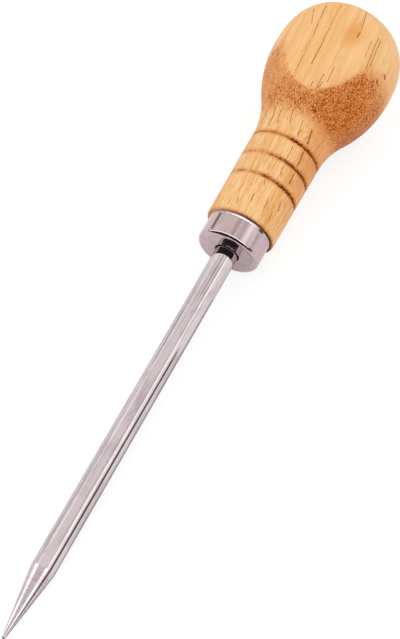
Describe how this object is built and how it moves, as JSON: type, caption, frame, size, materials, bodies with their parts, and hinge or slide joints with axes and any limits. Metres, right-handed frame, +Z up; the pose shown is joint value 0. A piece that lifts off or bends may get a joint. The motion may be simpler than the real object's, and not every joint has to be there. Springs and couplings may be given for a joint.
{
  "type": "bradawl",
  "caption": "Round bradawl: pointed steel blade and plated ferrule in a turned wooden palm handle with a flatted bulb and scored grooves.",
  "frame": {"origin": "centre of the ferrule's front face, on the tool's axis, where the shank stands out", "axes": "-X along the blade towards its point, +X towards the butt, +Z and -Z out of the bulb's two flats, +Z up"},
  "size_m": [0.1905, 0.0336, 0.0258],
  "materials": {
    "lacquered_wood": "clear lacquer over open-pored hardwood",
    "plated_ferrule": "bright plating",
    "plated_blade": "bright plating over a drawn bar, with turning marks on the point"
  },
  "bodies": {
    "root": {"handle": "lacquered_wood", "ferrule": "plated_ferrule", "blade": "plated_blade"}
  },
  "joints": []
}
